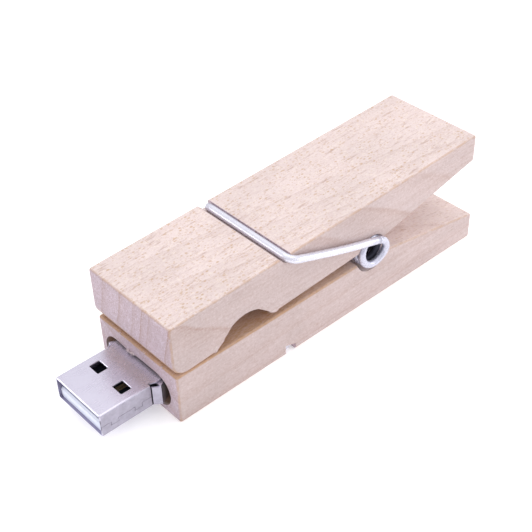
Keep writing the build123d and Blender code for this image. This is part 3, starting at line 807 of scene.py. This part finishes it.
def make_spring(material):
    """The one wire in three pieces: each arm rides with its leg, and the coil stays where it is."""
    low = touch_angle(LOWER_BAR, -1)
    high = touch_angle(UPPER_BAR, 1)
    coil = wire_mesh("wire_coil", coil_line(low, high), False)
    upper = wire_mesh("wire_upper_arm", arm_line(UPPER_BAR, high, 1), True)
    lower = wire_mesh("wire_lower_arm", arm_line(LOWER_BAR, low, -1), True)
    for piece, node in ((coil, "spring_coil"), (upper, "spring_upper_arm"),
                        (lower, "spring_lower_arm")):
        piece.data.materials.append(material)
        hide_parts(node)
    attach(upper, UPPER)
    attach(lower, LOWER)
    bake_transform(coil)


# ---------------------------------------------------------------- torn wood

ARCH = (7.7, 21.3)       # along the leg, where the line hole's arch starts and ends
FRONT_FLANK = (9.6, 2.1)         # along the leg, the middle and reach of its roughest parts
REAR_FLANK = (20.0, 0.9)
LINING_STEP = 0.16
LINING_HALF = 10.27      # just inside the leg's side faces
LINING_DEPTH = 0.55      # how far the torn layer is let into the wood
LINING_SUNK = 0.04       # its first and last rows lie this far under the surface
LINING_FADE = 5          # and it rises to its full height over this many rows
LINING_LEAST = 0.15      # share of its depth that its first and last rows keep
ARCH_FIBRES = ((8.2, 11.2, 26), (18.8, 20.8, 14), (11.2, 18.8, 8))     # from, to, how many
SLOT_CUSP = (-2.0, 7.1)  # x, z of the ridge where the slot's two arcs meet
CUSP_FIBRES = 30
NICKS = (-4.3, 1.95, 6.5)        # x of small tears on the lower leg's top front edge
NICK_FIBRES = 5
FIBRE_STEPS = 4


def add_wood(name, bm, material, body):
    """A piece of torn wood that rides on the body."""
    bmesh.ops.recalc_face_normals(bm, faces=bm.faces)
    piece = add_mesh(name, bm)
    piece.data.materials.append(material)
    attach(piece, body)


def arch_profile():
    """(y, z) points along the middle of the arch, read off the leg itself."""
    leg = NODES["upper_leg"]
    points = []
    count = int((ARCH[1] - ARCH[0]) / LINING_STEP)
    for i in range(count + 1):
        y = WOOD_FRONT + ARCH[0] + (ARCH[1] - ARCH[0]) * i / count
        hit, place, _, _ = leg.ray_cast(Vector((0, y * MM, 5 * MM)), Vector((0, 0, 1)))
        if hit:
            points.append((y, place.z / MM))
    return points


def nearness(along, part):
    """1 at the middle of the part and 0 beyond its reach."""
    middle, reach = part
    return max(0.0, 1 - abs(along - middle) / reach)


def raggedness(x, y):
    """Height of the torn fibres on the arch: worst on the front flank, light elsewhere."""
    along = y - WOOD_FRONT
    coarse = noise.noise(Vector((x * 0.8, y * 1.7, 3.1)))
    fine = noise.noise(Vector((x * 2.6, y * 5.0, 8.4)))
    step = max(0.0, coarse + 0.15) * 0.34 + max(0.0, fine) * 0.12
    torn = nearness(along, FRONT_FLANK) + 0.6 * nearness(along, REAR_FLANK)
    return 0.03 + 0.02 * fine + torn * step


def make_torn_lining(material, profile):
    """The arch's cut surface, with torn grain that makes its edges ragged."""
    columns = int(2 * LINING_HALF / LINING_STEP)
    last = len(profile) - 1
    bm = bmesh.new()
    outer, inner = [], []
    for j in range(columns + 1):
        x = -LINING_HALF + 2 * LINING_HALF * j / columns
        outer_row, inner_row = [], []
        for i, (y, z) in enumerate(profile):
            before = profile[max(i - 1, 0)]
            after = profile[min(i + 1, last)]
            tangent = Vector((after[0] - before[0], after[1] - before[1])).normalized()
            normal = Vector((0, tangent.y, -tangent.x))
            full = min(1.0, i / LINING_FADE, (last - i) / LINING_FADE)
            height = raggedness(x, y) * full - LINING_SUNK * (1 - full)
            depth = LINING_DEPTH * max(full, LINING_LEAST)
            outer_row.append(bm.verts.new((Vector((x, y, z)) + normal * height) * MM))
            inner_row.append(bm.verts.new((Vector((x, y, z)) - normal * depth) * MM))
        outer.append(outer_row)
        inner.append(inner_row)
    for j in range(columns):
        for i in range(last):
            bm.faces.new((outer[j][i], outer[j + 1][i], outer[j + 1][i + 1], outer[j][i + 1]))
            bm.faces.new((inner[j][i], inner[j][i + 1], inner[j + 1][i + 1], inner[j + 1][i]))
        for i in (0, last):
            bm.faces.new((outer[j][i], inner[j][i], inner[j + 1][i], outer[j + 1][i]))
    for j in (0, columns):
        for i in range(last):
            bm.faces.new((outer[j][i], outer[j][i + 1], inner[j][i + 1], inner[j][i]))
    add_wood("torn_arch", bm, material, UPPER)


def add_fibre(bm, base, along, length, width, curl):
    """One torn fibre: a thin blade that narrows to a point and curls."""
    along = along.normalized()
    side = along.orthogonal().normalized()
    lift = along.cross(side)
    rings = []
    for k in range(FIBRE_STEPS + 1):
        t = k / FIBRE_STEPS
        centre = base + along * (length * t) + lift * (curl * t * t)
        w = width * (1 - t) ** 0.7 + 0.006
        rings.append([bm.verts.new((centre + side * w * a + lift * w * b) * MM)
                      for a, b in ((1, -0.3), (-1, -0.3), (0, 0.45))])
    for a, b in zip(rings, rings[1:]):
        for k in range(3):
            bm.faces.new((a[k], a[(k + 1) % 3], b[(k + 1) % 3], b[k]))
    bm.faces.new(list(reversed(rings[0])))
    bm.faces.new(rings[-1])


def make_upper_fibres(material, profile):
    """Torn fibres along both edges of the arch."""
    draw = random.Random(11)
    bm = bmesh.new()
    for side in (-1, 1):
        for first, last, count in ARCH_FIBRES:
            for _ in range(count):
                want = WOOD_FRONT + draw.uniform(first, last)
                y, z = min(profile, key=lambda p: abs(p[0] - want))
                base = Vector((side * (LINING_HALF - draw.uniform(0.02, 0.5)), y, z + 0.04))
                along = Vector((side * draw.uniform(-0.1, 0.25), draw.uniform(-1, 1),
                                draw.uniform(-0.9, -0.2)))
                add_fibre(bm, base, along, draw.uniform(0.15, 0.5), draw.uniform(0.03, 0.07),
                          draw.uniform(-0.12, 0.12))
    add_wood("torn_fibres_upper", bm, material, UPPER)


def make_lower_fibres(material):
    """Torn fibres round the ridge over the slot and on the top front edge."""
    draw = random.Random(23)
    bm = bmesh.new()
    for _ in range(CUSP_FIBRES):
        base = Vector((SLOT_CUSP[0] + draw.uniform(-0.9, 0.9),
                       WOOD_FRONT + draw.uniform(-0.02, 0.2),
                       SLOT_CUSP[1] + 0.2 + draw.uniform(-0.1, 0.25)))
        along = Vector((draw.uniform(-0.9, 0.9), draw.uniform(-0.7, -0.2),
                        draw.uniform(-0.3, 0.3)))
        add_fibre(bm, base, along, draw.uniform(0.4, 0.8), draw.uniform(0.1, 0.18),
                  draw.uniform(-0.12, 0.12))
    for middle in NICKS:
        for _ in range(NICK_FIBRES):
            base = Vector((middle + draw.uniform(-0.25, 0.25),
                           WOOD_FRONT + draw.uniform(0.1, 0.3),
                           LEG_TOP + draw.uniform(-0.1, 0.0)))
            along = Vector((draw.uniform(-0.4, 0.4), -1.0, draw.uniform(-0.3, 0.5)))
            add_fibre(bm, base, along, draw.uniform(0.25, 0.5), draw.uniform(0.06, 0.1),
                      draw.uniform(-0.05, 0.12))
    add_wood("torn_fibres_lower", bm, material, LOWER)


# ---------------------------------------------------------------- camera, floor and light

AZIMUTH = math.radians(47.385)
ELEVATION = math.radians(38.932)
ROLL = math.radians(-0.771)
CAMERA_AT = (107.67, -95.67, 125.46)
LENS = 72.31             # for a sensor 36 wide
SHIFT = (-0.0424, 0.0033)        # in widths of the picture
FLOOR_HALF = 1.2         # metres
AIM = (0, 0, 0.01)       # metres; where the lamps look


def add_camera():
    """Looks down on the plug and the right side, as a studio shot of a small thing on a table."""
    back = Vector((math.sin(AZIMUTH) * math.cos(ELEVATION),
                   -math.cos(AZIMUTH) * math.cos(ELEVATION), math.sin(ELEVATION)))
    level = Vector((math.cos(AZIMUTH), math.sin(AZIMUTH), 0))
    rise = back.cross(level)
    right = level * math.cos(ROLL) + rise * math.sin(ROLL)
    up = rise * math.cos(ROLL) - level * math.sin(ROLL)
    data = bpy.data.cameras.new("camera")
    data.lens = LENS
    data.sensor_width = 36.0
    data.shift_x, data.shift_y = SHIFT
    data.clip_start = 0.01
    data.clip_end = 10.0
    camera = add_object("camera", data)
    turned = Matrix((right, up, back)).transposed().to_4x4()
    camera.matrix_world = Matrix.Translation(Vector(CAMERA_AT) * MM) @ turned
    bpy.context.scene.camera = camera


def add_floor():
    """A plain white table that glows a little, so that shadows stay faint."""
    mesh = bpy.data.meshes.new("floor")
    half = FLOOR_HALF
    mesh.from_pydata([(-half, -half, 0), (half, -half, 0), (half, half, 0), (-half, half, 0)],
                     [], [(0, 1, 2, 3)])
    g = Graph("floor_white")
    soft = g.noise(0.02, 2)
    colour = g.mix(soft, (0.93, 0.93, 0.935, 1), (0.95, 0.95, 0.955, 1))
    mesh.materials.append(g.finish(colour, g.smooth(soft, 0.3, 0.7, 0.7, 0.8),
                                   Specular_IOR_Level=0.1, Emission_Color=(1, 1, 1, 1),
                                   Emission_Strength=0.3))
    add_object("floor", mesh)


def add_world():
    """A bright tent: white overhead, greyer towards the horizon so that metal has contrast."""
    world = bpy.data.worlds.new("tent")
    bpy.context.scene.world = world
    world.use_nodes = True
    tree = world.node_tree
    coordinates = tree.nodes.new("ShaderNodeTexCoord")
    split = tree.nodes.new("ShaderNodeSeparateXYZ")
    ramp = tree.nodes.new("ShaderNodeValToRGB")
    set_stops(ramp, ((0.0, (0.36, 0.36, 0.42, 1)), (0.2, (0.62, 0.61, 0.67, 1)),
                     (0.45, (0.95, 0.95, 0.98, 1)), (1.0, (1.05, 1.05, 1.05, 1))))
    tree.links.new(coordinates.outputs["Generated"], split.inputs[0])
    tree.links.new(split.outputs[2], ramp.inputs[0])
    tree.links.new(ramp.outputs[0], tree.nodes["Background"].inputs["Color"])


def add_light(name, at, aim, size, watts, colour=(1, 1, 1)):
    """A soft box. Its place and size are in metres."""
    data = bpy.data.lights.new(name, "AREA")
    data.shape = "RECTANGLE"
    data.size, data.size_y = size
    data.energy = watts
    data.color = colour
    lamp = add_object(name, data)
    lamp.location = at
    lamp.rotation_mode = "QUATERNION"
    lamp.rotation_quaternion = (Vector(aim) - Vector(at)).to_track_quat("-Z", "Y")


def add_lights():
    """Soft boxes overhead, on the right, behind on the right and at the front left."""
    add_light("overhead", (-0.05, 0.12, 0.6), AIM, (0.6, 0.5), 0.8)
    add_light("right_fill", (0.6, 0.2, 0.3), AIM, (0.4, 0.3), 0.25, (1.0, 0.99, 1.0))
    add_light("rear_right", (0.3, 0.4, 0.14), (0, 0.03, 0.01), (0.3, 0.2), 0.5)
    add_light("front_left", (-0.48, -0.57, 0.245), AIM, (0.26, 0.2), 0.5, (0.98, 0.98, 1.0))


bpy.context.scene.view_settings.view_transform = "Standard"
upper_wood = beech("beech_upper", 1, (1.0, -0.15, -0.25), UPPER_RINGS, 1.0, upper_gap_shade)
torn_wood = moulded("torn_wood", srgb(238, 226, 230), srgb(218, 202, 202), 0.6, 0.75,
                    grain=9.0, depth=0.02, level=0.3)
arch = arch_profile()
dress_nodes(upper_wood)
make_spring(wire_chrome())
make_torn_lining(upper_wood, arch)
make_upper_fibres(upper_wood, arch)
make_lower_fibres(torn_wood)
add_camera()
add_floor()
add_world()
add_lights()
